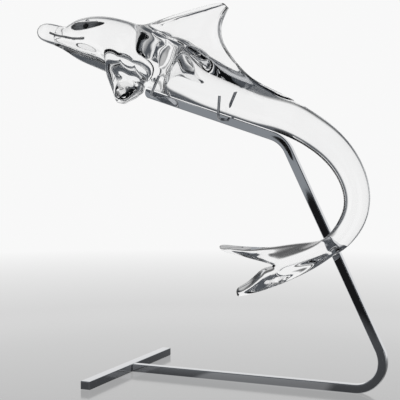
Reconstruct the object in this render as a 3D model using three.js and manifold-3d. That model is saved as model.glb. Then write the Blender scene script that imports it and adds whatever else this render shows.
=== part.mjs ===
// A clear, hot-worked crystal dolphin leaping along the arm of a chromed stand.
// Millimetres, +Z up. The foot's cross bar lies along Y and the stand's long bar runs along +X from it.
// The dolphin swims towards -X, and its tail curls under and passes the post on the -Y side.

import * as THREE from 'three';
import { RoundedBoxGeometry } from 'three/addons/geometries/RoundedBoxGeometry.js';
import { mergeVertices } from 'three/addons/utils/BufferGeometryUtils.js';
import Module from 'manifold-3d';

const wasm = await Module();
wasm.setup();

// Stand: one square bar bent twice, on a flat cross bar
const barSize = 10;
const barEdge = 1;
const baseReach = 339;
const postLength = 314;
const postLeanDeg = 25.6;
const armLength = 189;
const armRiseDeg = 18.7;
const lowerBendRadius = 32;
const upperBendRadius = 34;
const armEndRounding = 7;
const crossbarLength = 220;
const crossbarWidth = 12;
const jointGap = 0.3;

// Cradles: round wire pushed through cross holes in the arm and bent up round the belly
const wireDiameter = 3.4;
const holeClearance = 0.4;
const wireBend = 6;
const glassGap = 0.5;
const frontHoleInset = 17.6;
const frontCradle = { halfSpan: 22, prongLength: 30, leanDeg: 19 };
const rearCradle = { halfSpan: 23, prongLength: 27, leanDeg: -10 };
const cradleSpacing = 93.5;

// Dolphin: every number below is a share of this length, in hundredths
const figureLength = 484;
const share = figureLength / 100;
const restGap = 0.6;

const rad = THREE.MathUtils.degToRad;
const at = (x, y, z) => new THREE.Vector3(x, y, z);

const chrome = () => new THREE.MeshStandardMaterial({ color: 0xc9ccd0, roughness: 0.08, metalness: 1 });
const crystal = () => new THREE.MeshStandardMaterial({ color: 0xf4f8fa, roughness: 0.02, metalness: 0 });

function named(name, geometry, material) {
  const mesh = new THREE.Mesh(geometry, material);
  mesh.name = name;
  return mesh;
}

function solidOf(geometry) {
  const bare = geometry.index ? geometry.toNonIndexed() : geometry.clone();
  for (const key of Object.keys(bare.attributes)) {
    if (key !== 'position') bare.deleteAttribute(key);
  }
  const merged = mergeVertices(bare, 1e-4);
  return new wasm.Manifold(new wasm.Mesh({
    numProp: 3,
    vertProperties: new Float32Array(merged.attributes.position.array),
    triVerts: new Uint32Array(merged.index.array),
  }));
}

function geometryOf(solid) {
  const mesh = solid.getMesh();
  const geometry = new THREE.BufferGeometry();
  geometry.setAttribute('position', new THREE.BufferAttribute(new Float32Array(mesh.vertProperties), 3));
  geometry.setIndex(new THREE.BufferAttribute(new Uint32Array(mesh.triVerts), 1));
  return geometry;
}

// Stand geometry worked out from its sizes. Points here are (x, z) in the stand's own plane.
const half = barSize / 2;
const baseStart = new THREE.Vector2(crossbarWidth / 2 + jointGap, half);
const baseEnd = new THREE.Vector2(baseReach, half);
const postTop = new THREE.Vector2(
  baseReach - postLength * Math.sin(rad(postLeanDeg)),
  half + postLength * Math.cos(rad(postLeanDeg)),
);
const armDirection = new THREE.Vector2(-Math.cos(rad(armRiseDeg)), Math.sin(rad(armRiseDeg)));
const armEnd = postTop.clone().addScaledVector(armDirection, armLength);
const frontHole = armEnd.clone().addScaledVector(armDirection, -frontHoleInset);
const rearHole = frontHole.clone().addScaledVector(armDirection, -cradleSpacing);

// The arm's frame: along it towards the tail, sideways, and square off its top face, from over the front hole
const alongArm = at(-armDirection.x, 0, -armDirection.y);
const offArm = at(armDirection.y, 0, -armDirection.x);
const armTop = at(frontHole.x, 0, frontHole.y).addScaledVector(offArm, half);

function onArm(along, side, height) {
  return armTop.clone().addScaledVector(alongArm, along).addScaledVector(offArm, height).setY(side);
}

const leftOf = (d) => new THREE.Vector2(-d.y, d.x);

// Offset corner of a left-hand bend between two straight runs of bar
function bend(corner, from, to, radius) {
  const into = corner.clone().sub(from).normalize();
  const out = to.clone().sub(corner).normalize();
  const turn = Math.acos(THREE.MathUtils.clamp(into.dot(out), -1, 1));
  const start = corner.clone().addScaledVector(into, -radius * Math.tan(turn / 2));
  const centre = start.clone().addScaledVector(leftOf(into), radius);
  const first = Math.atan2(-leftOf(into).y, -leftOf(into).x);
  return { centre, radius, first, last: first + turn };
}

function bentBar() {
  const bends = [
    bend(baseEnd, baseStart, postTop, lowerBendRadius),
    bend(postTop, baseEnd, armEnd, upperBendRadius),
  ];
  const outline = new THREE.Shape();
  outline.moveTo(baseStart.x, barSize);
  outline.lineTo(baseStart.x, 0);
  for (const b of bends) outline.absarc(b.centre.x, b.centre.y, b.radius + half, b.first, b.last, false);
  const under = leftOf(armDirection);
  const square = armEnd.clone().addScaledVector(under, -half);
  outline.lineTo(square.x, square.y);
  const roundCentre = armEnd.clone().addScaledVector(armDirection, -armEndRounding)
    .addScaledVector(under, half - armEndRounding);
  const endAngle = Math.atan2(armDirection.y, armDirection.x);
  outline.absarc(roundCentre.x, roundCentre.y, armEndRounding, endAngle, endAngle + Math.PI / 2, false);
  for (const b of bends.reverse()) {
    outline.absarc(b.centre.x, b.centre.y, b.radius - half, b.last, b.first, true);
  }
  outline.closePath();
  const geometry = new THREE.ExtrudeGeometry(outline, {
    depth: barSize - 2 * barEdge,
    bevelThickness: barEdge,
    bevelSize: barEdge,
    bevelOffset: -barEdge,
    bevelSegments: 2,
    curveSegments: 14,
  });
  geometry.rotateX(Math.PI / 2);
  geometry.translate(0, half - barEdge, 0);
  let solid = solidOf(geometry);
  const holeRadius = wireDiameter / 2 + holeClearance;
  for (const hole of [frontHole, rearHole]) {
    const drill = new THREE.CylinderGeometry(holeRadius, holeRadius, 2 * barSize, 16);
    drill.translate(hole.x, 0, hole.y);
    solid = solid.subtract(solidOf(drill));
  }
  return geometryOf(solid);
}

function crossbar() {
  const geometry = new RoundedBoxGeometry(crossbarWidth, crossbarLength, barSize, 2, barEdge);
  geometry.translate(0, 0, half);
  return geometryOf(solidOf(geometry));
}

// Spine of the dolphin from beak to fluke notch, in the arm's frame:
// along, side, height of the centre, half height, half width, twist in degrees, flatness 0 to 1
const spine = [
  [-39.8, 0, 5.4, 1.1, 1.1, 0, 0],
  [-39.1, 0, 5.4, 1.95, 1.9, 0, 0],
  [-37.6, 0, 5.6, 2.55, 2.4, 0, 0],
  [-34.1, 0, 5.7, 2.7, 2.6, 0, 0],
  [-31.0, 0, 5.6, 3.0, 3.0, 0, 0],
  [-28.8, 0, 6.2, 4.5, 4.1, 0, 0],
  [-25.6, 0, 6.9, 5.9, 5.4, 0, 0],
  [-20.6, 0, 7.7, 6.9, 6.5, 0, 0],
  [-15.0, 0, 7.7, 7.2, 7.0, 0, 0],
  [-10.6, 0, 7.5, 7.15, 7.0, 0, 0],
  [-6.3, 0, 7.2, 7.0, 6.9, 0, 0],
  [-2.0, 0, 6.8, 6.75, 6.6, 0, 0],
  [3.9, 0, 6.4, 6.4, 6.3, 0, 0],
  [10.1, 0, 6.0, 6.0, 5.9, 0, 0],
  [16.3, 0, 5.6, 5.6, 5.5, 0, 0],
  [22.1, 0, 5.2, 5.2, 5.1, 0, 0],
  [27.9, 0, 4.8, 4.8, 4.75, 0, 0],
  [33.7, 0, 4.4, 4.4, 4.4, 0, 0],
  [39.3, 0, 3.5, 4.0, 4.0, 0, 0],
  [44.8, 0, 2.1, 3.85, 3.8, 0, 0],
  [49.9, -0.2, -0.3, 3.6, 3.5, 0, 0],
  [54.2, -0.6, -3.8, 3.35, 3.3, 0, 0],
  [57.2, -1.2, -8.1, 3.15, 3.1, 0, 0],
  [58.2, -2.1, -12.5, 3.0, 3.0, 2, 0],
  [57.6, -3.2, -16.4, 2.85, 2.8, 8, 0],
  [56.5, -4.7, -19.6, 2.5, 2.9, 25, 0.3],
  [54.2, -6.2, -22.2, 2.0, 3.6, 42, 0.7],
  [51.3, -7.6, -24.6, 1.8, 4.4, 50, 1],
  [48.4, -8.6, -26.8, 1.7, 5.2, 50, 1],
  [45.4, -9.4, -29.0, 1.5, 5.8, 50, 1],
];

const sides = 12;
const step = (2 * Math.PI) / sides;
// A smoothed ring runs inside its cage by this much, so the cage is drawn larger
const swell = 6 / (4 + 2 * Math.cos(step));
// Fluke sections are broad and lens shaped, with the two middle columns close to the notch
const flukeAcross = [1, 0.6, 0.1];
const flukeThick = [0.35, 0.9, 1];

function sectionPoint(k, flat) {
  const angle = (k + 0.5) * step;
  const column = k % (sides / 2) < sides / 4 ? k % (sides / 2) : sides / 2 - 1 - (k % (sides / 2));
  const across = THREE.MathUtils.lerp(Math.abs(Math.cos(angle)), flukeAcross[column] / swell, flat);
  const thick = THREE.MathUtils.lerp(Math.abs(Math.sin(angle)), flukeThick[column], flat);
  return [Math.sign(Math.cos(angle)) * across * swell, Math.sign(Math.sin(angle)) * thick * swell];
}

const spinePoint = (row) => onArm(row[0] * share, row[1] * share, row[2] * share + restGap);

// Frame of one section: tangent towards the tail, lateral, and dorsal direction
function spineFrame(i) {
  const before = spinePoint(spine[Math.max(i - 1, 0)]);
  const after = spinePoint(spine[Math.min(i + 1, spine.length - 1)]);
  const tangent = after.sub(before).normalize();
  const lateral = at(0, 1, 0).addScaledVector(tangent, -tangent.y).normalize();
  const dorsal = tangent.clone().cross(lateral);
  const twist = rad(spine[i][5]);
  return {
    tangent,
    lateral: lateral.clone().multiplyScalar(Math.cos(twist)).addScaledVector(dorsal, -Math.sin(twist)),
    dorsal: dorsal.clone().multiplyScalar(Math.cos(twist)).addScaledVector(lateral, Math.sin(twist)),
  };
}

// Cage of quads that the smooth body is worked out from
const cage = { points: [], quads: [] };
const addPoint = (p) => cage.points.push(p) - 1;

// Creases: first and last spine row, corners of the section that are drawn in, and the share of its
// width and height that is left there
const creases = [
  { first: 4, last: 10, corners: [7, 10], ofWidth: 0.64, ofHeight: 0.64 },
  { first: 13, last: 16, corners: [0, 1, 4, 5], ofWidth: 0.8, ofHeight: 0.8 },
  { first: 17, last: 25, corners: [6, 7], ofWidth: 0.85, ofHeight: 0.85 },
  { first: 26, last: 29, corners: [1, 4, 7, 10], ofWidth: 1, ofHeight: 0.5 },
];

function leftAt(i, k) {
  const crease = creases.find(({ first, last, corners }) => i >= first && i <= last && corners.includes(k));
  return crease ?? { ofWidth: 1, ofHeight: 1 };
}

function addRing(i) {
  const [, , , halfHeight, halfWidth, , flat] = spine[i];
  const centre = spinePoint(spine[i]);
  const { lateral, dorsal } = spineFrame(i);
  return Array.from({ length: sides }, (_, k) => {
    const [across, up] = sectionPoint(k, flat);
    const { ofWidth, ofHeight } = leftAt(i, k);
    return addPoint(centre.clone()
      .addScaledVector(lateral, across * ofWidth * halfWidth * share)
      .addScaledVector(dorsal, up * ofHeight * halfHeight * share));
  });
}

// A fin grows out of a strip of faces. rowA and rowB are the strip's two long edges, and each level
// gives the fin's front and rear points, its half thickness and the direction across it from A to B.
// Rim and web are the shares of that thickness left at the edges and in the middle. Wedge is the share
// by which the rear edge is thicker, and the front edge thinner, than they would be without it.
function growFin(rowA, rowB, levels, { rim, web, wedge = 0 }) {
  const n = rowA.length - 1;
  for (const { front, rear, thick, across } of levels) {
    const nextA = [];
    const nextB = [];
    for (let j = 0; j <= n; j++) {
      // points of a long fin gather at its edges
      const t = n > 4 ? (1 - Math.cos(Math.PI * j / n)) / 2 : j / n;
      const onFin = front.clone().lerp(rear, t);
      const swellHere = thick * (1 + wedge * (2 * t - 1))
        * THREE.MathUtils.lerp(rim, web, Math.sqrt(Math.max(Math.sin(Math.PI * t), 0)));
      nextA.push(addPoint(onFin.clone().addScaledVector(across, -swellHere)));
      nextB.push(addPoint(onFin.clone().addScaledVector(across, swellHere)));
    }
    for (let j = 0; j < n; j++) {
      cage.quads.push([rowA[j + 1], rowA[j], nextA[j], nextA[j + 1]]);
      cage.quads.push([rowB[j], rowB[j + 1], nextB[j + 1], nextB[j]]);
    }
    cage.quads.push([rowA[0], rowB[0], nextB[0], nextA[0]]);
    cage.quads.push([rowB[n], rowA[n], nextA[n], nextB[n]]);
    rowA = nextA;
    rowB = nextB;
  }
  for (let j = 0; j < n; j++) cage.quads.push([rowA[j], rowB[j], rowB[j + 1], rowA[j + 1]]);
}

const finPoint = (p) => onArm(p[0] * share, p[1] * share, p[2] * share + restGap);
const finLevels = (rows, across) => rows.map(([front, rear, thick]) => ({
  front: finPoint(front), rear: finPoint(rear), thick: thick * share, across,
}));

// Where each fin grows: its stretch of the spine, its column of faces, and the way across the fin
const dorsalRoot = { from: -10.6, to: 22.1, column: 2, across: at(0, -1, 0), rim: 1, web: 0.35 };
const nearRoot = { from: -15.0, to: -2.0, column: 6, across: at(0, 0.75, -0.66), rim: 0.75, web: 1 };
const farRoot = { from: -15.0, to: -2.0, column: 11, across: at(0, 0.25, 0.97), rim: 1, web: 0.5 };
const fluke = { rim: 1.2, web: 0.8, wedge: -0.5 };

// Front point, rear point, half thickness
const dorsalFin = [
  [[-7.0, 0, 16.6], [16.0, 0, 13.8], 2.2],
  [[-2.0, 0, 19.7], [11.3, 0, 17.4], 2.0],
  [[3.6, 0, 22.9], [10.3, 0, 21.4], 1.8],
  [[8.2, 0, 25.3], [10.9, 0, 24.2], 1.5],
  [[9.9, 0, 25.9], [11.3, 0, 25.2], 1.0],
];
const nearPectoral = [
  [[-12.4, -8.8, 1.6], [0.2, -8.4, 0.6], 1.9],
  [[-7.8, -12.2, -1.2], [1.2, -11.8, -1.0], 1.6],
  [[-4.2, -15.0, -3.2], [0.4, -14.8, -2.8], 1.3],
  [[-2.2, -16.8, -4.4], [-0.4, -16.6, -4.1], 1.0],
];
const farPectoral = [
  [[-12.4, 9.2, 5.4], [0, 9.0, 5.0], 1.9],
  [[-7.4, 13.6, 4.4], [0.8, 13.2, 4.0], 1.6],
  [[-2.6, 17.2, 3.2], [2.2, 16.8, 2.8], 1.3],
  [[0, 19.8, 2.4], [2.2, 19.4, 2.2], 1.0],
];

// Fluke lobes in the plane of the last section: both edges as (past that section, across), half thickness
const upperLobe = [
  [[3.6, 6.9], [2.2, 2.2], 1.0],
  [[7.2, 8.4], [5.4, 4.5], 0.95],
  [[10.0, 9.9], [8.8, 7.1], 0.9],
  [[12.4, 10.8], [11.8, 9.2], 0.8],
];
const lowerLobe = [
  [[2.2, 0.2], [2.6, -6.0], 1.25],
  [[4.9, -2.4], [5.2, -6.0], 1.2],
  [[7.6, -3.6], [7.6, -5.9], 1.1],
  [[9.6, -4.0], [9.6, -5.7], 0.9],
];

// Carved eye: a level almond hollow, bowed with the flank and finer behind, with a round ball left in it
const eye = { along: -23.4, side: 5.1, height: 10.6, tiltDeg: 30, turnDeg: 4, bowRadius: 10, taper: 0.25 };
const eyeHollow = [5.2, 0.5, 1.35];
const eyeBall = [0.7, 0.9, 0.7];
// Mouth: a shallow groove along each side of the beak
const mouthLine = [[-34.9, 2.6, 5.9], [-32.5, 2.85, 5.8], [-29.4, 3.8, 6.1], [-25.4, 5.25, 6.5], [-22.0, 6.1, 7.4]];
const mouthRadius = 0.28;

function eyeShape(halfSizes, sideSign) {
  const geometry = new THREE.SphereGeometry(1, 20, 10).scale(...halfSizes);
  geometry.rotateX(sideSign * rad(eye.tiltDeg));
  const spots = geometry.attributes.position;
  for (let i = 0; i < spots.count; i++) {
    const along = spots.getX(i);
    const narrowed = 1 - eye.taper * along / eyeHollow[0];
    const sunk = sideSign * along ** 2 / (2 * eye.bowRadius);
    spots.setXYZ(i, along, spots.getY(i) * narrowed - sunk, spots.getZ(i) * narrowed);
  }
  geometry.scale(share, share, share);
  geometry.rotateZ(sideSign * rad(eye.turnDeg));
  const centre = finPoint([eye.along, sideSign * eye.side, eye.height]);
  return solidOf(geometry.translate(centre.x, centre.y, centre.z));
}

function mouthGroove(sideSign) {
  const points = mouthLine.map(([along, side, height]) => finPoint([along, sideSign * side, height]));
  const section = new THREE.Shape().absarc(0, 0, mouthRadius * share, 0, 2 * Math.PI, false);
  const extrudePath = new THREE.CatmullRomCurve3(points);
  return solidOf(new THREE.ExtrudeGeometry(section, { extrudePath, steps: 16, curveSegments: 3 }));
}

function carved(body) {
  for (const sideSign of [-1, 1]) {
    body = body.subtract(mouthGroove(sideSign));
    body = body.subtract(eyeShape(eyeHollow, sideSign).subtract(eyeShape(eyeBall, sideSign)));
  }
  return body;
}

function crystalDolphin() {
  const rings = spine.map((_, i) => addRing(i));
  const roots = [dorsalRoot, nearRoot, farRoot];
  const ringsOf = ({ from, to }) => rings.filter((_, i) => spine[i][0] >= from && spine[i][0] <= to);
  const isOpen = (i, k) => roots.some((root) => root.column === k
    && ringsOf(root).includes(rings[i]) && ringsOf(root).includes(rings[i + 1]));
  for (let i = 0; i + 1 < rings.length; i++) {
    for (let k = 0; k < sides; k++) {
      const m = (k + 1) % sides;
      if (!isOpen(i, k)) cage.quads.push([rings[i][k], rings[i][m], rings[i + 1][m], rings[i + 1][k]]);
    }
  }
  const fins = [[dorsalRoot, dorsalFin], [nearRoot, nearPectoral], [farRoot, farPectoral]];
  for (const [root, rows] of fins) {
    const edge = (k) => ringsOf(root).map((ring) => ring[k % sides]);
    growFin(edge(root.column), edge(root.column + 1), finLevels(rows, root.across), root);
  }

  const nose = rings[0];
  for (let k = 0; k < sides / 2 - 1; k++) {
    cage.quads.push([nose[k + 1], nose[k], nose[sides - 1 - k], nose[sides - 2 - k]]);
  }

  // The last section closes over the notch in one quad, and a lobe grows on either side of it
  const last = spine.length - 1;
  const end = rings[last];
  cage.quads.push([end[2], end[3], end[8], end[9]]);
  const { tangent, lateral, dorsal } = spineFrame(last);
  const centre = spinePoint(spine[last]);
  const lobe = (rows) => rows.map(([outer, inner, thick]) => ({
    front: centre.clone().addScaledVector(tangent, outer[0] * share).addScaledVector(lateral, outer[1] * share),
    rear: centre.clone().addScaledVector(tangent, inner[0] * share).addScaledVector(lateral, inner[1] * share),
    thick: thick * share,
    across: dorsal,
  }));
  growFin([end[11], end[10], end[9]], [end[0], end[1], end[2]], lobe(upperLobe), fluke);
  growFin([end[8], end[7], end[6]], [end[3], end[4], end[5]], lobe(lowerLobe), fluke);
  return geometryOf(carved(solidOf(smoothed(cage.points, cage.quads))));
}

// One round of Catmull-Clark smoothing, with every corner then moved onto the limit surface
function smoothed(points, quads) {
  const fine = subdivide(points, quads);
  const limit = limitPoints(fine.points, fine.quads);
  const geometry = new THREE.BufferGeometry();
  geometry.setAttribute('position', new THREE.Float32BufferAttribute(limit.flatMap((p) => p.toArray()), 3));
  geometry.setIndex(fine.quads.flatMap(([a, b, c, d]) => [a, b, c, a, c, d]));
  return geometry;
}

const mean = (list) => list.reduce((sum, p) => sum.add(p), at(0, 0, 0)).divideScalar(list.length);
const edgeKey = (a, b) => (a < b ? `${a}_${b}` : `${b}_${a}`);

function subdivide(points, quads) {
  const facePoint = quads.map((q) => mean(q.map((i) => points[i])));
  const edges = new Map();
  quads.forEach((q, f) => q.forEach((a, j) => {
    const b = q[(j + 1) % 4];
    const key = edgeKey(a, b);
    if (!edges.has(key)) edges.set(key, { a, b, faces: [] });
    edges.get(key).faces.push(f);
  }));
  const around = points.map(() => ({ faces: [], mids: [] }));
  quads.forEach((q, f) => q.forEach((i) => around[i].faces.push(facePoint[f])));
  for (const { a, b } of edges.values()) {
    const middle = mean([points[a], points[b]]);
    around[a].mids.push(middle);
    around[b].mids.push(middle);
  }
  const next = points.map((p, i) => {
    const n = around[i].faces.length;
    return mean(around[i].faces).add(mean(around[i].mids).multiplyScalar(2))
      .addScaledVector(p, n - 3).divideScalar(n);
  });
  const faceStart = next.length;
  next.push(...facePoint);
  for (const edge of edges.values()) {
    const [f, g] = edge.faces;
    edge.index = next.push(mean([points[edge.a], points[edge.b], facePoint[f], facePoint[g]])) - 1;
  }
  const fine = quads.flatMap((q, f) => q.map((a, j) => {
    const ahead = edges.get(edgeKey(a, q[(j + 1) % 4])).index;
    const behind = edges.get(edgeKey(q[(j + 3) % 4], a)).index;
    return [a, ahead, faceStart + f, behind];
  }));
  return { points: next, quads: fine };
}

function limitPoints(points, quads) {
  const beside = points.map(() => new Set());
  const opposite = points.map(() => []);
  for (const q of quads) {
    q.forEach((i, j) => {
      beside[i].add(q[(j + 1) % 4]).add(q[(j + 3) % 4]);
      opposite[i].push(points[q[(j + 2) % 4]]);
    });
  }
  return points.map((p, i) => {
    const n = opposite[i].length;
    const sum = p.clone().multiplyScalar(n * n);
    for (const e of beside[i]) sum.addScaledVector(points[e], 4);
    for (const o of opposite[i]) sum.add(o);
    return sum.divideScalar(n * (n + 5));
  });
}

// Trunk half height where a cradle holds it, read off the spine
function trunkRadius(along) {
  const i = spine.findIndex((row) => row[0] * share > along);
  const [before, after] = [spine[i - 1], spine[i]];
  const t = (along / share - before[0]) / (after[0] - before[0]);
  return THREE.MathUtils.lerp(before[3], after[3], t) * share;
}

function cradle(along, { halfSpan, prongLength, leanDeg }) {
  const clear = trunkRadius(along) + wireDiameter / 2 + glassGap;
  const rise = half + restGap + trunkRadius(along);
  const reach = Math.hypot(halfSpan, rise);
  const open = Math.asin(Math.min(clear / reach, 1)) - Math.atan2(halfSpan, rise);
  const lean = rad(leanDeg);
  const place = (side, up) => onArm(along + up * Math.sin(lean), side, up * Math.cos(lean) - half);
  const corner = (sign) => place(sign * halfSpan, 0);
  const upProng = (sign, length) => place(
    sign * (halfSpan + length * Math.sin(open)),
    length * Math.cos(open),
  );
  const path = new THREE.CurvePath();
  path.add(new THREE.LineCurve3(upProng(-1, prongLength), upProng(-1, wireBend)));
  path.add(new THREE.QuadraticBezierCurve3(upProng(-1, wireBend), corner(-1), place(wireBend - halfSpan, 0)));
  path.add(new THREE.LineCurve3(place(wireBend - halfSpan, 0), place(halfSpan - wireBend, 0)));
  path.add(new THREE.QuadraticBezierCurve3(place(halfSpan - wireBend, 0), corner(1), upProng(1, wireBend)));
  path.add(new THREE.LineCurve3(upProng(1, wireBend), upProng(1, prongLength)));
  const section = new THREE.Shape().absarc(0, 0, wireDiameter / 2, 0, 2 * Math.PI, false);
  const geometry = new THREE.ExtrudeGeometry(section, { extrudePath: path, steps: 40, curveSegments: 4 });
  return geometryOf(solidOf(geometry));
}

const group = new THREE.Group();
group.add(named('bent_bar', bentBar(), chrome()));
group.add(named('foot_crossbar', crossbar(), chrome()));
group.add(named('front_cradle', cradle(0, frontCradle), chrome()));
group.add(named('rear_cradle', cradle(cradleSpacing, rearCradle), chrome()));
group.add(named('crystal_dolphin', crystalDolphin(), crystal()));

// The origin is under the middle of the whole piece
const extent = new THREE.Box3().setFromObject(group);
const middle = extent.getCenter(at(0, 0, 0));
group.position.set(-middle.x, -middle.y, 0);

export default group;
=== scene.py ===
import math

import bmesh
import bpy
from mathutils import Matrix, Vector


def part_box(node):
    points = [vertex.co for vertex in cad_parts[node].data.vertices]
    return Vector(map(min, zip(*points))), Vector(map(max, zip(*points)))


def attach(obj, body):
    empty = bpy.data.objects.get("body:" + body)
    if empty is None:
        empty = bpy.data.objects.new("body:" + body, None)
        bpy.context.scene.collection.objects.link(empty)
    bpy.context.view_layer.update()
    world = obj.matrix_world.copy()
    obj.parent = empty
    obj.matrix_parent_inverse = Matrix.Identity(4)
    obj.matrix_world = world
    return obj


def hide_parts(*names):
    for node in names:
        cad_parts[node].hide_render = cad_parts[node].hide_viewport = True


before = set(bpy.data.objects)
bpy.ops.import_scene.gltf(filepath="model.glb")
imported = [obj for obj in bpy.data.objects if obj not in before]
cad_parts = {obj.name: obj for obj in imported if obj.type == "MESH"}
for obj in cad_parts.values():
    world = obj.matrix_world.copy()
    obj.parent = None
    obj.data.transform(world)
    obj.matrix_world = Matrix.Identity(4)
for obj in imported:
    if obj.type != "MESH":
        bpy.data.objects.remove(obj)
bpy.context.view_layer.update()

print("stage 1: frame loaded,", len(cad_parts), "nodes")


def finishPiece(bm, name, materials, node):
    mesh = bpy.data.meshes.new(name)
    bm.to_mesh(mesh)
    bm.free()
    piece = bpy.data.objects.new(name, mesh)
    bpy.context.scene.collection.objects.link(piece)
    for material in materials:
        mesh.materials.append(material)
    mesh.shade_smooth()
    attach(piece, "root")
    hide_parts(node)
    return piece


def endFaceOf(made):
    return next(f for f in made if isinstance(f, bmesh.types.BMFace))


def bendStock(bm, face, start, direction, axis, runs, turnSteps):
    # works like a bar bender: a run is ("straight", length) or ("turn", radius, degrees) about the axis
    place, heading = Vector(start), Vector(direction).normalized()
    for kind, size, *rest in runs:
        if kind == "straight":
            made = bmesh.ops.extrude_face_region(bm, geom=[face])["geom"]
            face = endFaceOf(made)
            bmesh.ops.translate(bm, verts=face.verts, vec=heading * size)
            place += heading * size
        else:
            angle = math.radians(rest[0])
            side = axis.cross(heading).normalized() * math.copysign(1, angle)
            centre = place + side * size
            ends = [face, *face.edges, *face.verts]
            made = bmesh.ops.spin(bm, geom=ends, cent=centre, axis=axis, angle=angle, steps=turnSteps)
            face = endFaceOf(made["geom_last"])
            turn = Matrix.Rotation(angle, 3, axis)
            place = centre + turn @ (place - centre)
            heading = turn @ heading
    return face


def sharpEdges(bm, degrees):
    return [e for e in bm.edges if len(e.link_faces) == 2 and e.calc_face_angle() > math.radians(degrees)]


def addNode(tree, kind, sockets=None, **settings):
    node = tree.nodes.new(kind)
    for key, value in settings.items():
        setattr(node, key, value)
    for key, value in (sockets or {}).items():
        if isinstance(value, bpy.types.NodeSocket):
            tree.links.new(value, node.inputs[key])
        else:
            node.inputs[key].default_value = value
    return node


def mixColours(tree, factor, first, second):
    return addNode(tree, "ShaderNodeMix", {0: factor, 6: first, 7: second}, data_type="RGBA").outputs[2]


def newMaterial(name):
    material = bpy.data.materials.new(name)
    material.use_nodes = True
    tree = material.node_tree
    tree.nodes.clear()
    shader = addNode(tree, "ShaderNodeBsdfPrincipled")
    addNode(tree, "ShaderNodeOutputMaterial", {"Surface": shader.outputs["BSDF"]})
    place = addNode(tree, "ShaderNodeTexCoord").outputs["Object"]
    return material, tree, shader, place


def newGroup(name, inputs, outputs):
    group = bpy.data.node_groups.new(name, "ShaderNodeTree")
    for label, kind, value in inputs:
        socket = group.interface.new_socket(name=label, in_out="INPUT", socket_type="NodeSocket" + kind)
        if value is not None:
            socket.default_value = value
    for label, kind in outputs:
        group.interface.new_socket(name=label, in_out="OUTPUT", socket_type="NodeSocket" + kind)
    return group, group.nodes.new("NodeGroupInput").outputs, group.nodes.new("NodeGroupOutput")


# Slow waves left by the making, with fine smudges in the gloss
wavyGloss, waveIn, waveOut = newGroup(
    "wavyGloss",
    [("Vector", "Vector", None), ("Wave scale", "Float", 20.0), ("Smudge scale", "Float", 60.0),
     ("Cleanest", "Float", 0.02), ("Dullest", "Float", 0.08)],
    [("Height", "Float"), ("Roughness", "Float")],
)
waves = addNode(wavyGloss, "ShaderNodeTexNoise",
                {"Vector": waveIn["Vector"], "Scale": waveIn["Wave scale"], "Detail": 1.0, "Roughness": 0.4})
smudges = addNode(wavyGloss, "ShaderNodeTexNoise",
                  {"Vector": waveIn["Vector"], "Scale": waveIn["Smudge scale"], "Detail": 3.0})
dulled = addNode(wavyGloss, "ShaderNodeMapRange",
                 {"Value": smudges.outputs["Fac"], "From Min": 0.35, "From Max": 0.7,
                  "To Min": waveIn["Cleanest"], "To Max": waveIn["Dullest"]})
wavyGloss.links.new(waves.outputs["Fac"], waveOut.inputs["Height"])
wavyGloss.links.new(dulled.outputs["Result"], waveOut.inputs["Roughness"])


chromeGloss = {"Wave scale": 18.0, "Smudge scale": 90.0, "Cleanest": 0.015, "Dullest": 0.05}
glassGloss = {"Wave scale": 14.0, "Smudge scale": 40.0, "Cleanest": 0.0, "Dullest": 0.01}


def useWavyGloss(tree, shader, place, settings, waveHeight):
    gloss = addNode(tree, "ShaderNodeGroup", node_tree=wavyGloss)
    for key, value in settings.items():
        gloss.inputs[key].default_value = value
    tree.links.new(place, gloss.inputs["Vector"])
    bump = addNode(tree, "ShaderNodeBump", {"Height": gloss.outputs["Height"], "Strength": 1.0, "Distance": waveHeight})
    tree.links.new(bump.outputs["Normal"], shader.inputs["Normal"])
    tree.links.new(gloss.outputs["Roughness"], shader.inputs["Roughness"])


def chromeMaterial(name, tint, waveHeight):
    material, tree, shader, place = newMaterial(name)
    shader.inputs["Base Color"].default_value = (*tint, 1)
    shader.inputs["Metallic"].default_value = 1.0
    useWavyGloss(tree, shader, place, chromeGloss, waveHeight)
    return material


# Stand: one square bar bent twice, on a cross bar. All lengths are in metres, angles in degrees
footLow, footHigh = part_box("foot_crossbar")
footX = (footLow.x + footHigh.x) / 2
stand = {
    "barSize": footHigh.z - footLow.z,
    "barEdge": 0.001,
    "baseReach": 0.339,
    "postLength": 0.314,
    "postLean": 25.6,
    "armLength": 0.189,
    "armRise": 18.7,
    "lowerBend": 0.032,
    "upperBend": 0.034,
    "armEndRound": 0.007,
    "jointGap": 0.0003,
    "turnSteps": 28,
    "edgeSegments": 3,
    "endSegments": 10,
    "sharpAngle": 30,
    "chrome": (0.63, 0.64, 0.66),
    "waveHeight": 0.00004,
}
halfBar = stand["barSize"] / 2
rise = math.radians(stand["armRise"])
lean = math.radians(stand["postLean"])
baseStart = Vector((footHigh.x + stand["jointGap"], 0, halfBar))
baseEnd = Vector((footX + stand["baseReach"], 0, halfBar))
postTop = baseEnd + stand["postLength"] * Vector((-math.sin(lean), 0, math.cos(lean)))
armDirection = Vector((-math.cos(rise), 0, math.sin(rise)))

chromeBar = chromeMaterial("chromedBar", stand["chrome"], stand["waveHeight"])


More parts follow.
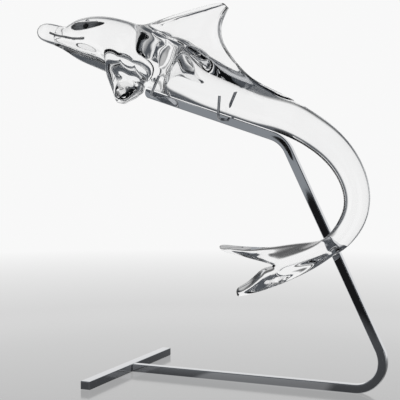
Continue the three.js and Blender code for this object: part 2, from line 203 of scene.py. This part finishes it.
def buildBar():
    turnLow = 90 + stand["postLean"]
    turnHigh = 180 - stand["armRise"] - turnLow
    usedLow = stand["lowerBend"] * math.tan(math.radians(turnLow / 2))
    usedHigh = stand["upperBend"] * math.tan(math.radians(turnHigh / 2))
    upAxis = Vector((0, -1, 0))
    bm = bmesh.new()
    bmesh.ops.create_circle(bm, segments=4, radius=halfBar * math.sqrt(2), cap_ends=True)
    stood = Matrix.Translation(baseStart) @ Matrix.Rotation(math.pi / 2, 4, "Y") @ Matrix.Rotation(math.pi / 4, 4, "Z")
    bmesh.ops.transform(bm, matrix=stood, verts=bm.verts)
    face = next(iter(bm.faces))
    runs = [
        ("straight", (baseEnd - baseStart).length - usedLow),
        ("turn", stand["lowerBend"], turnLow),
        ("straight", stand["postLength"] - usedLow - usedHigh),
        ("turn", stand["upperBend"], turnHigh),
        ("straight", stand["armLength"] - usedHigh),
    ]
    endFace = bendStock(bm, face, baseStart, Vector((1, 0, 0)), upAxis, runs, stand["turnSteps"])
    bmesh.ops.recalc_face_normals(bm, faces=bm.faces)
    lowEdge = min(endFace.edges, key=lambda e: (e.verts[0].co + e.verts[1].co).z)
    bmesh.ops.bevel(bm, geom=[lowEdge], offset=stand["armEndRound"], affect="EDGES",
                    segments=stand["endSegments"], profile=0.5, material=-1)
    bmesh.ops.bevel(bm, geom=sharpEdges(bm, stand["sharpAngle"]), offset=stand["barEdge"], affect="EDGES",
                    segments=stand["edgeSegments"], profile=0.5, material=-1)
    bar = finishPiece(bm, "bentBar", [chromeBar], "bent_bar")
    flat = bar.modifiers.new("flatSides", "WEIGHTED_NORMAL")
    flat.keep_sharp = True
    return bar


bar = buildBar()
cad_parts["foot_crossbar"].data.materials.clear()
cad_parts["foot_crossbar"].data.materials.append(chromeBar)
print("stage 2: stand built")

cradles = {
    "wireDiameter": 0.0034,
    "wireSides": 20,
    "wireBend": 0.006,
    "turnSteps": 10,
    "endBevel": 0.0004,
    "endSegments": 2,
    "sharpAngle": 60,
    "glassGap": 0.0005,
    "frontInset": 0.0176,
    "spacing": 0.0935,
    "front": {"halfSpan": 0.022, "prongLength": 0.030, "lean": 19},
    "rear": {"halfSpan": 0.023, "prongLength": 0.027, "lean": -10},
    # the wires' chrome tint, darker than the stand's: painted shade in the plating's colour
    "chrome": (0.42, 0.43, 0.45),
    "waveHeight": 0.00002,
}

# Dolphin: every number is a share of its length, in hundredths
dolphin = {
    "length": 0.484,
    "restGap": 0.0006,
    "sides": 12,
    "smoothLevels": 3,
    "refraction": 1.52,
    "waveHeight": 0.0001,
    "flukeAcross": [1, 0.6, 0.1],
    "flukeThick": [0.35, 0.9, 1],
    # share of a fluke's thickness at its edges and in its middle, and how far one edge is thicker
    "flukeEdge": (1.2, 0.8, -0.5),
    # along, side, height of the centre, half height, half width, twist, flatness
    "spine": [
        [-39.8, 0, 5.4, 1.1, 1.1, 0, 0], [-39.1, 0, 5.4, 1.95, 1.9, 0, 0],
        [-37.6, 0, 5.6, 2.55, 2.4, 0, 0], [-34.1, 0, 5.7, 2.7, 2.6, 0, 0],
        [-31.0, 0, 5.6, 3.0, 3.0, 0, 0], [-28.8, 0, 6.2, 4.5, 4.1, 0, 0],
        [-25.6, 0, 6.9, 5.9, 5.4, 0, 0], [-20.6, 0, 7.7, 6.9, 6.5, 0, 0],
        [-15.0, 0, 7.7, 7.2, 7.0, 0, 0], [-10.6, 0, 7.5, 7.15, 7.0, 0, 0],
        [-6.3, 0, 7.2, 7.0, 6.9, 0, 0], [-2.0, 0, 6.8, 6.75, 6.6, 0, 0],
        [3.9, 0, 6.4, 6.4, 6.3, 0, 0], [10.1, 0, 6.0, 6.0, 5.9, 0, 0],
        [16.3, 0, 5.6, 5.6, 5.5, 0, 0], [22.1, 0, 5.2, 5.2, 5.1, 0, 0],
        [27.9, 0, 4.8, 4.8, 4.75, 0, 0], [33.7, 0, 4.4, 4.4, 4.4, 0, 0],
        [39.3, 0, 3.5, 4.0, 4.0, 0, 0], [44.8, 0, 2.1, 3.85, 3.8, 0, 0],
        [49.9, -0.2, -0.3, 3.6, 3.5, 0, 0], [54.2, -0.6, -3.8, 3.35, 3.3, 0, 0],
        [57.2, -1.2, -8.1, 3.15, 3.1, 0, 0], [58.2, -2.1, -12.5, 3.0, 3.0, 2, 0],
        [57.6, -3.2, -16.4, 2.85, 2.8, 8, 0], [56.5, -4.7, -19.6, 2.5, 2.9, 25, 0.3],
        [54.2, -6.2, -22.2, 2.0, 3.6, 42, 0.7], [51.3, -7.6, -24.6, 1.8, 4.4, 50, 1],
        [48.4, -8.6, -26.8, 1.7, 5.2, 50, 1], [45.4, -9.4, -29.0, 1.5, 5.8, 50, 1],
    ],
    # fins: stretch of the spine, column of faces, way across, share of the thickness at the edge and in the
    # middle, then levels of front, rear and half thickness
    "fins": [
        {"from": -10.6, "to": 22.1, "column": 2, "across": (0, -1, 0), "rim": 1, "web": 0.35, "levels": [
            [(-7.0, 0, 16.6), (16.0, 0, 13.8), 2.2], [(-2.0, 0, 19.7), (11.3, 0, 17.4), 2.0],
            [(3.6, 0, 22.9), (10.3, 0, 21.4), 1.8], [(8.2, 0, 25.3), (10.9, 0, 24.2), 1.5],
            [(9.9, 0, 25.88), (11.3, 0, 25.18), 1.0]]},
        {"from": -15.0, "to": -2.0, "column": 6, "across": (0, 0.75, -0.66), "rim": 0.75, "web": 1, "levels": [
            [(-12.4, -8.8, 1.6), (0.2, -8.4, 0.6), 1.9], [(-7.8, -12.2, -1.2), (1.2, -11.8, -1.0), 1.6],
            [(-4.2, -15.0, -3.2), (0.4, -14.8, -2.8), 1.3], [(-2.2, -16.8, -4.4), (-0.4, -16.6, -4.1), 1.0]]},
        {"from": -15.0, "to": -2.0, "column": 11, "across": (0, 0.25, 0.97), "rim": 1, "web": 0.5, "levels": [
            [(-12.4, 9.2, 5.4), (0, 9.0, 5.0), 1.9], [(-7.4, 13.6, 4.4), (0.8, 13.2, 4.0), 1.6],
            [(-2.6, 17.2, 3.2), (2.2, 16.8, 2.8), 1.3], [(0, 19.8, 2.4), (2.2, 19.4, 2.2), 1.0]]},
    ],
    # creases: first and last spine row, corners of the section drawn in, shares left of its width and height
    "creases": [(4, 10, (7, 10), 0.64, 0.64), (13, 16, (0, 1, 4, 5), 0.8, 0.8),
                (17, 25, (6, 7), 0.85, 0.85), (26, 29, (1, 4, 7, 10), 1, 0.5)],
    # eye hollow and ball: place, half sizes, tilt and turn, bow and taper; mouth groove on each side
    "eye": {"at": (-23.4, 5.1, 10.6), "hollow": (5.2, 0.5, 1.35), "ball": (0.7, 0.9, 0.7),
            "tilt": 30, "turn": 4, "bowRadius": 10, "taper": 0.25, "segments": (48, 24)},
    "mouth": [(-34.9, 2.6, 5.9), (-32.5, 2.85, 5.8), (-29.4, 3.8, 6.1), (-25.4, 5.25, 6.5), (-22.0, 6.1, 7.4)],
    "mouthRadius": 0.28,
    "mouthSteps": 6,
    "mouthSides": 16,
    # fluke lobes in the plane of the last section: both edges as (past it, across), half thickness
    "upperLobe": [[(3.6, 6.9), (2.2, 2.2), 1.0], [(7.2, 8.4), (5.4, 4.5), 0.95],
                  [(10.0, 9.9), (8.8, 7.1), 0.9], [(12.4, 10.8), (11.8, 9.2), 0.8]],
    "lowerLobe": [[(2.2, 0.2), (2.6, -6.0), 1.25], [(4.9, -2.4), (5.2, -6.0), 1.2],
                  [(7.6, -3.6), (7.6, -5.9), 1.1], [(9.6, -4.0), (9.6, -5.7), 0.9]],
}
share = dolphin["length"] / 100
frontHole = postTop + armDirection * (stand["armLength"] - cradles["frontInset"])
alongArm = -armDirection
offArm = Vector((math.sin(rise), 0, math.cos(rise)))


def onArm(along, side, height):
    # from over the front hole on the arm's top: along towards the tail, sideways, square off the arm
    place = frontHole + alongArm * along + offArm * (height + halfBar)
    place.y = side
    return place


def figurePoint(along, side, height):
    return onArm(along * share, side * share, height * share + dolphin["restGap"])


def spineFrame(i):
    rows = dolphin["spine"]
    tangent = (figurePoint(*rows[min(i + 1, len(rows) - 1)][:3]) - figurePoint(*rows[max(i - 1, 0)][:3])).normalized()
    lateral = (Vector((0, 1, 0)) - tangent * tangent.y).normalized()
    turn = Matrix.Rotation(-math.radians(rows[i][5]), 3, tangent)
    return tangent, turn @ lateral, turn @ tangent.cross(lateral)


def ringPlaces(i):
    sides = dolphin["sides"]
    step = 2 * math.pi / sides
    swell = 6 / (4 + 2 * math.cos(step))
    *centre, halfHeight, halfWidth, _, flat = dolphin["spine"][i]
    _, lateral, dorsal = spineFrame(i)
    places = []
    for k in range(sides):
        c, s = math.cos((k + 0.5) * step), math.sin((k + 0.5) * step)
        quarter = k % (sides // 2)
        column = quarter if quarter < sides // 4 else sides // 2 - 1 - quarter
        across = abs(c) + (dolphin["flukeAcross"][column] / swell - abs(c)) * flat
        thick = abs(s) + (dolphin["flukeThick"][column] - abs(s)) * flat
        for first, last, corners, ofWidth, ofHeight in dolphin["creases"]:
            if first <= i <= last and k in corners:
                across, thick = across * ofWidth, thick * ofHeight
        places.append(figurePoint(*centre)
                      + lateral * math.copysign(across, c) * swell * halfWidth * share
                      + dorsal * math.copysign(thick, s) * swell * halfHeight * share)
    return places


def extrudeRing(bm, ring, places):
    edges = [bm.edges.get((ring[k - 1], ring[k])) for k in range(len(ring))]
    fresh = set(bmesh.ops.extrude_edge_only(bm, edges=edges)["geom"])
    following = [next(e.other_vert(v) for e in v.link_edges if e.other_vert(v) in fresh) for v in ring]
    for vert, place in zip(following, places):
        vert.co = place
    return following


def capRing(bm, ring):
    # the ring closes in a row of quads, from its one side to the other
    last = len(ring) - 1
    for k in range(len(ring) // 2 - 1):
        bm.faces.new((ring[k + 1], ring[k], ring[last - k], ring[last - 1 - k]))


def growFin(bm, rowA, rowB, levels, across, rim, web, wedge=0):
    # a strip of faces between two rows is drawn out level by level, and a long one gathers at its edges
    n = len(rowA) - 1
    for front, rear, thick in levels:
        strip = [next(f for f in rowA[j].link_faces if {rowA[j], rowA[j + 1], rowB[j], rowB[j + 1]} == set(f.verts))
                 for j in range(n)]
        fresh = {g for g in bmesh.ops.extrude_face_region(bm, geom=strip)["geom"] if isinstance(g, bmesh.types.BMVert)}
        bmesh.ops.delete(bm, geom=[f for f in strip if f.is_valid], context="FACES_ONLY")
        rowA, rowB = ([next(e.other_vert(v) for e in v.link_edges if e.other_vert(v) in fresh) for v in row]
                      for row in (rowA, rowB))
        for j in range(n + 1):
            t = (1 - math.cos(math.pi * j / n)) / 2 if n > 4 else j / n
            half = thick * share * (rim + (web - rim) * math.sin(math.pi * t) ** 0.5) * (1 + wedge * (2 * t - 1))
            middle = front.lerp(rear, t)
            rowA[j].co = middle - across * half
            rowB[j].co = middle + across * half


def buildDolphin():
    rows = dolphin["spine"]
    bm = bmesh.new()
    ring = bmesh.ops.create_circle(bm, segments=dolphin["sides"], radius=1)["verts"]
    for vert, place in zip(ring, ringPlaces(0)):
        vert.co = place
    rings = [ring]
    for i in range(1, len(rows)):
        rings.append(extrudeRing(bm, rings[-1], ringPlaces(i)))
    capRing(bm, rings[0])
    capRing(bm, rings[-1])
    for fin in dolphin["fins"]:
        stretch = [r for r, row in zip(rings, rows) if fin["from"] <= row[0] <= fin["to"]]
        edge = [[r[k % dolphin["sides"]] for r in stretch] for k in (fin["column"], fin["column"] + 1)]
        levels = [(figurePoint(*front), figurePoint(*rear), thick) for front, rear, thick in fin["levels"]]
        growFin(bm, edge[0], edge[1], levels, Vector(fin["across"]), fin["rim"], fin["web"])
    end = rings[-1]
    tangent, lateral, dorsal = spineFrame(len(rows) - 1)
    centre = figurePoint(*rows[-1][:3])
    for lobe, rowA, rowB in (("upperLobe", (11, 10, 9), (0, 1, 2)), ("lowerLobe", (8, 7, 6), (3, 4, 5))):
        levels = [[centre + (tangent * past + lateral * out) * share for past, out in (outer, inner)] + [thick]
                  for outer, inner, thick in dolphin[lobe]]
        growFin(bm, [end[k] for k in rowA], [end[k] for k in rowB], levels, dorsal, *dolphin["flukeEdge"])
    bmesh.ops.recalc_face_normals(bm, faces=bm.faces)
    return bm


clear, clearTree, clearShader, clearPlace = newMaterial("clearCrystal")
clearShader.inputs["Base Color"].default_value = (1, 1, 1, 1)
clearShader.inputs["IOR"].default_value = dolphin["refraction"]
clearShader.inputs["Transmission Weight"].default_value = 1.0
useWavyGloss(clearTree, clearShader, clearPlace, glassGloss, dolphin["waveHeight"])


def groundMaterial(name, dark, pale, roughness):
    # wheel-cut crystal: dull and streaked along the cut, with the grey of its outer side painted shade for the darkness
    # the cut shows in the glass, while from inside the glass it lets light through
    material, tree, shader, place = newMaterial(name)
    streaks = addNode(tree, "ShaderNodeVectorMath", {0: place, 1: (90, 400, 900)}, operation="MULTIPLY")
    noise = addNode(tree, "ShaderNodeTexNoise", {"Vector": streaks.outputs["Vector"], "Scale": 1.0, "Detail": 2.0})
    tone = mixColours(tree, noise.outputs["Fac"], (*dark, 1), (*pale, 1))
    tree.links.new(tone, shader.inputs["Base Color"])
    shader.inputs["Roughness"].default_value = roughness
    glowing = addNode(tree, "ShaderNodeBsdfPrincipled", {"Base Color": (0.94, 0.94, 0.94, 1), "Roughness": roughness,
                                                         "Transmission Weight": 1.0})
    inside = addNode(tree, "ShaderNodeNewGeometry").outputs["Backfacing"]
    seen = addNode(tree, "ShaderNodeMixShader", {0: inside, 1: shader.outputs["BSDF"], 2: glowing.outputs["BSDF"]})
    out = next(n for n in tree.nodes if n.type == "OUTPUT_MATERIAL")
    tree.links.new(seen.outputs["Shader"], out.inputs["Surface"])
    return material


# the eye hollows and mouth grooves take this grey: painted shade in their colour, over the cut's own streaks
groundPaintedShade = groundMaterial("groundCrystalPaintedShade", (0.04, 0.045, 0.05), (0.75, 0.75, 0.75), 0.45)
pupil = groundMaterial("pupilCrystal", (0.01, 0.01, 0.01), (0.03, 0.03, 0.03), 0.2)


def eyeShape(bm, halfSizes, side):
    eye = dolphin["eye"]
    around, rows = eye["segments"]
    verts = bmesh.ops.create_uvsphere(bm, u_segments=around, v_segments=rows, radius=1)["verts"]
    bmesh.ops.scale(bm, verts=verts, vec=halfSizes)
    bmesh.ops.rotate(bm, verts=verts, matrix=Matrix.Rotation(math.radians(side * eye["tilt"]), 3, "X"))
    for vert in verts:
        along, out, up = vert.co
        narrowed = 1 - eye["taper"] * along / eye["hollow"][0]
        vert.co = (along, out * narrowed - side * along ** 2 / (2 * eye["bowRadius"]), up * narrowed)
    bmesh.ops.scale(bm, verts=verts, vec=(share, share, share))
    bmesh.ops.rotate(bm, verts=verts, matrix=Matrix.Rotation(math.radians(side * eye["turn"]), 3, "Z"))
    along, out, up = eye["at"]
    bmesh.ops.translate(bm, verts=verts, vec=figurePoint(along, side * out, up))


def tubeAlong(bm, points, radius, sides):
    ring = None
    for i, point in enumerate(points):
        heading = (points[min(i + 1, len(points) - 1)] - points[max(i - 1, 0)]).normalized()
        across = heading.cross(Vector((0, 0, 1))).normalized()
        above = across.cross(heading)
        turns = [2 * math.pi * k / sides for k in range(sides)]
        places = [point + (across * math.cos(a) + above * math.sin(a)) * radius for a in turns]
        if ring is None:
            ring = [bm.verts.new(place) for place in places]
            for k in range(sides):
                bm.edges.new((ring[k - 1], ring[k]))
            bm.faces.new(ring)
        else:
            ring = extrudeRing(bm, ring, places)
    bm.faces.new(list(reversed(ring)))


def smoothPath(points, steps):
    # Catmull-Rom through the points
    padded = [points[0] * 2 - points[1], *points, points[-1] * 2 - points[-2]]
    path = []
    for i in range(1, len(padded) - 2):
        a, b, c, d = padded[i - 1:i + 3]
        for k in range(steps):
            t = k / steps
            bend = (2 * a - 5 * b + 4 * c - d) * t ** 2 + (3 * b - a - 3 * c + d) * t ** 3
            path.append(0.5 * (2 * b + (c - a) * t + bend))
    return path + [points[-1]]


def cutterFrom(bm, material):
    bmesh.ops.recalc_face_normals(bm, faces=bm.faces)
    mesh = bpy.data.meshes.new("cutter")
    bm.to_mesh(mesh)
    bm.free()
    mesh.materials.append(material)
    cutter = bpy.data.objects.new("cutter", mesh)
    bpy.context.scene.collection.objects.link(cutter)
    return cutter


def settle(thing):
    # the modifiers' result becomes the mesh
    settled = bpy.data.meshes.new_from_object(thing.evaluated_get(bpy.context.evaluated_depsgraph_get()))
    thing.modifiers.clear()
    thing.data = settled


def carve(thing, cutter):
    cut = thing.modifiers.new("cut", "BOOLEAN")
    cut.operation = "DIFFERENCE"
    cut.solver = "EXACT"
    cut.material_mode = "TRANSFER"
    cut.object = cutter


body = finishPiece(buildDolphin(), "crystalDolphin", [clear], "crystal_dolphin")
smooth = body.modifiers.new("smooth", "SUBSURF")
smooth.levels = smooth.render_levels = dolphin["smoothLevels"]
cutters = []
for side in (-1, 1):
    hollowShape, ballShape, groove = bmesh.new(), bmesh.new(), bmesh.new()
    eyeShape(hollowShape, dolphin["eye"]["hollow"], side)
    eyeShape(ballShape, dolphin["eye"]["ball"], side)
    mouthLine = [figurePoint(along, side * out, up) for along, out, up in dolphin["mouth"]]
    mouthLine = smoothPath(mouthLine, dolphin["mouthSteps"])
    tubeAlong(groove, mouthLine, dolphin["mouthRadius"] * share, dolphin["mouthSides"])
    hollow, ball = cutterFrom(hollowShape, groundPaintedShade), cutterFrom(ballShape, pupil)
    carve(hollow, ball)
    line = cutterFrom(groove, groundPaintedShade)
    carve(body, hollow)
    carve(body, line)
    cutters += [hollow, ball, line]
settle(body)
for cutter in cutters:
    bpy.data.objects.remove(cutter)
pupilSlot = list(body.data.materials).index(pupil)
for side in (-1, 1):
    along, out, up = dolphin["eye"]["at"]
    spot = figurePoint(along, side * out, up)
    for face in body.data.polygons:
        if (face.center - spot).length < max(dolphin["eye"]["ball"]) * share:
            face.material_index = pupilSlot
print("stage 3: dolphin built,", len(body.data.polygons), "faces")


def trunkRadius(along):
    rows = dolphin["spine"]
    i = next(k for k, row in enumerate(rows) if row[0] * share > along)
    t = (along / share - rows[i - 1][0]) / (rows[i][0] - rows[i - 1][0])
    return share * (rows[i - 1][3] * (1 - t) + rows[i][3] * t)


# the wire carries the bar's plating with a darker tint: painted shade in its colour
shadedChromeWire = chromeMaterial("chromedWireShaded", cradles["chrome"], cradles["waveHeight"])


def buildCradle(name, node, along, halfSpan, prongLength, lean):
    # a straight wire, bent up on both sides to clear the trunk
    clearance = trunkRadius(along) + cradles["wireDiameter"] / 2 + cradles["glassGap"]
    height = halfBar + dolphin["restGap"] + trunkRadius(along)
    reach = math.hypot(halfSpan, height)
    spread = math.asin(min(clearance / reach, 1)) - math.atan2(halfSpan, height)
    leaning = math.radians(lean)
    up = alongArm * math.sin(leaning) + offArm * math.cos(leaning)
    outward = Vector((0, 1, 0))
    corner = frontHole + alongArm * along - outward * halfSpan
    heading = outward * math.sin(spread) - up * math.cos(spread)
    start = corner - heading * prongLength
    turn = 90 - math.degrees(spread)
    radius = cradles["wireBend"] / math.tan(math.radians(turn / 2))
    bm = bmesh.new()
    bmesh.ops.create_circle(bm, segments=cradles["wireSides"], radius=cradles["wireDiameter"] / 2, cap_ends=True)
    stood = Matrix.Translation(start) @ heading.to_track_quat("Z", "Y").to_matrix().to_4x4()
    bmesh.ops.transform(bm, matrix=stood, verts=bm.verts)
    prong = ("straight", prongLength - cradles["wireBend"])
    bend = ("turn", radius, turn)
    runs = [prong, bend, ("straight", 2 * (halfSpan - cradles["wireBend"])), bend, prong]
    bendStock(bm, next(iter(bm.faces)), start, heading, outward.cross(up), runs, cradles["turnSteps"])
    bmesh.ops.recalc_face_normals(bm, faces=bm.faces)
    bmesh.ops.bevel(bm, geom=sharpEdges(bm, cradles["sharpAngle"]), offset=cradles["endBevel"], affect="EDGES",
                    segments=cradles["endSegments"], profile=0.5, material=-1)
    return finishPiece(bm, name, [shadedChromeWire], node)


buildCradle("frontCradle", "front_cradle", 0, **cradles["front"])
buildCradle("rearCradle", "rear_cradle", cradles["spacing"], **cradles["rear"])
print("stage 4: cradles built")

# Camera, fitted to the stand's straight edges
cameraSet = {"lens": 81.2, "azimuth": 23.27, "rise": 1.73, "distance": 1.0941, "aim": (footX + 0.0969, 0, 0.2168)}


def buildCamera():
    data = bpy.data.cameras.new("camera")
    data.lens = cameraSet["lens"]
    data.sensor_width = 36
    data.clip_end = 50
    camera = bpy.data.objects.new("camera", data)
    bpy.context.scene.collection.objects.link(camera)
    azimuth, up = math.radians(cameraSet["azimuth"]), math.radians(cameraSet["rise"])
    back = Vector((math.sin(azimuth) * math.cos(up), -math.cos(azimuth) * math.cos(up), math.sin(up)))
    camera.location = Vector(cameraSet["aim"]) + back * cameraSet["distance"]
    camera.rotation_mode = "QUATERNION"
    camera.rotation_quaternion = (-back).to_track_quat("-Z", "Y")
    bpy.context.scene.camera = camera


buildCamera()

studio = {
    "floorRadius": 6.0,
    "floorSides": 96,
    "floorColour": (0.05, 0.05, 0.05, 1),
    "floorRoughness": 0.12,
    "floorSpecular": 0.15,
    "glowNear": 0.675,
    "glowReach": 1.85,
    "floorSeen": 0.34,
    # the floor's painted light, from its own emission, as the chrome and the glass see it: levels within an oval patch
    # and beyond it, and from above
    "floorHidden": (0.21, 0.05),
    "floorUnder": 0.5,
    "steepView": (0.3, 0.45),
    "floorBand": {"middle": (0.077, 0, 0), "stretch": (1, 0.6, 0), "inner": 0.075, "outer": 0.09},
    "nearFloor": (0.30, 0.62),
    "horizon": 0.94,
    # patches of the surroundings: turned left of the camera's aim, raised, inner and outer radius in degrees
    "patches": [
        {"turn": 180, "rise": 0, "inner": 128, "outer": 140, "level": (0.08, 0.088, 0.1)},
        {"turn": 78, "rise": 0, "inner": 20, "outer": 32, "level": (0.7, 0.71, 0.72)},
        {"turn": 194, "rise": -4, "inner": 24, "outer": 35, "level": (0.7, 0.71, 0.72)},
        {"turn": 134, "rise": 0, "inner": 10, "outer": 15, "level": (0.35, 0.37, 0.39)},
        {"turn": 145.5, "rise": -13.5, "inner": 3, "outer": 5, "level": (0.10, 0.10, 0.10)},
        {"turn": 142.8, "rise": -5.6, "inner": 4.9, "outer": 5.3, "level": (0.014, 0.014, 0.015)},
        {"turn": 139.2, "rise": 2.0, "inner": 1.1, "outer": 1.25, "level": (0.008, 0.008, 0.008)},
    ],
}


def facing(turn, rise):
    angle, up = math.radians(cameraSet["azimuth"] + turn), math.radians(rise)
    return Vector((-math.sin(angle) * math.cos(up), math.cos(angle) * math.cos(up), math.sin(up)))


def buildWorld():
    world = bpy.data.worlds.new("studioLight")
    bpy.context.scene.world = world
    world.use_nodes = True
    tree = world.node_tree
    tree.nodes.clear()
    direction = addNode(tree, "ShaderNodeTexCoord").outputs["Generated"]
    pale = (studio["horizon"],) * 3 + (1,)
    light = addNode(tree, "ShaderNodeRGB").outputs["Color"]
    light.default_value = pale
    for patch in studio["patches"]:
        towards = addNode(tree, "ShaderNodeVectorMath", {0: direction, 1: facing(patch["turn"], patch["rise"])},
                          operation="DOT_PRODUCT")
        edge = addNode(tree, "ShaderNodeMapRange",
                       {"Value": towards.outputs["Value"], "From Min": math.cos(math.radians(patch["outer"])),
                        "From Max": math.cos(math.radians(patch["inner"]))}, interpolation_type="SMOOTHSTEP")
        light = mixColours(tree, edge.outputs["Result"], light, (*patch["level"], 1))
    seen = addNode(tree, "ShaderNodeLightPath").outputs["Is Camera Ray"]
    shown = mixColours(tree, seen, light, pale)
    background = addNode(tree, "ShaderNodeBackground", {"Color": shown, "Strength": 1.0})
    addNode(tree, "ShaderNodeOutputWorld", {"Surface": background.outputs["Background"]})


def buildFloor():
    material, tree, shader, place = newMaterial("selfLitFloor")
    shader.inputs["Base Color"].default_value = studio["floorColour"]
    shader.inputs["Roughness"].default_value = studio["floorRoughness"]
    shader.inputs["Specular IOR Level"].default_value = studio["floorSpecular"]
    # painted light: the dark floor glows by emission, evenly for the camera nearby, in an oval patch and by view angle
    # for the chrome and glass, and brighter with distance far off
    seen = addNode(tree, "ShaderNodeLightPath").outputs["Is Camera Ray"]
    shader.inputs["Emission Color"].default_value = (1, 1, 1, 1)
    band, (within, beyond) = studio["floorBand"], studio["floorHidden"]
    off = addNode(tree, "ShaderNodeVectorMath", {0: place, 1: band["middle"]}, operation="SUBTRACT")
    oval = addNode(tree, "ShaderNodeVectorMath", {0: off.outputs["Vector"], 1: band["stretch"]}, operation="MULTIPLY")
    away = addNode(tree, "ShaderNodeVectorMath", {0: oval.outputs["Vector"]}, operation="LENGTH")
    hidden = addNode(tree, "ShaderNodeMapRange",
                     {"Value": away.outputs["Value"], "From Min": band["inner"], "From Max": band["outer"],
                      "To Min": within, "To Max": beyond}, interpolation_type="SMOOTHSTEP")
    slant = addNode(tree, "ShaderNodeLayerWeight", {"Blend": 0.5}).outputs["Facing"]
    steep, shallow = studio["steepView"]
    under = addNode(tree, "ShaderNodeMapRange", {"Value": slant, "From Min": steep, "From Max": shallow,
                                                 "To Min": studio["floorUnder"], "To Max": hidden.outputs["Result"]})
    lit = addNode(tree, "ShaderNodeMapRange", {"Value": seen, "To Min": under.outputs["Result"],
                                               "To Max": studio["floorSeen"]})
    tree.links.new(lit.outputs["Result"], shader.inputs["Emission Strength"])
    flat = addNode(tree, "ShaderNodeVectorMath", {0: place, 1: (1, 1, 0)}, operation="MULTIPLY")
    distance = addNode(tree, "ShaderNodeVectorMath", {0: flat.outputs["Vector"]}, operation="LENGTH")
    near, far = studio["nearFloor"]
    fade = addNode(tree, "ShaderNodeMapRange", {"Value": distance.outputs["Value"], "From Min": near, "From Max": far},
                   interpolation_type="SMOOTHSTEP")
    level = addNode(tree, "ShaderNodeMapRange", {"Value": distance.outputs["Value"], "From Min": far,
                                                 "From Max": studio["glowReach"], "To Min": studio["glowNear"],
                                                 "To Max": studio["horizon"]})
    glow = addNode(tree, "ShaderNodeEmission", {"Color": (1, 1, 1, 1), "Strength": level.outputs["Result"]})
    none = addNode(tree, "ShaderNodeBsdfTransparent")
    distant = addNode(tree, "ShaderNodeMixShader", {0: seen, 1: none.outputs["BSDF"], 2: glow.outputs["Emission"]})
    blend = addNode(tree, "ShaderNodeMixShader", {0: fade.outputs["Result"], 1: shader.outputs["BSDF"],
                                                  2: distant.outputs["Shader"]})
    out = next(n for n in tree.nodes if n.type == "OUTPUT_MATERIAL")
    tree.links.new(blend.outputs["Shader"], out.inputs["Surface"])
    bm = bmesh.new()
    bmesh.ops.create_circle(bm, segments=studio["floorSides"], radius=studio["floorRadius"], cap_ends=True)
    mesh = bpy.data.meshes.new("floor")
    bm.to_mesh(mesh)
    bm.free()
    mesh.materials.append(material)
    floor = bpy.data.objects.new("floor", mesh)
    bpy.context.scene.collection.objects.link(floor)


buildWorld()
buildFloor()

bpy.context.scene.view_settings.view_transform = "Standard"
print("stage 5: studio and camera")
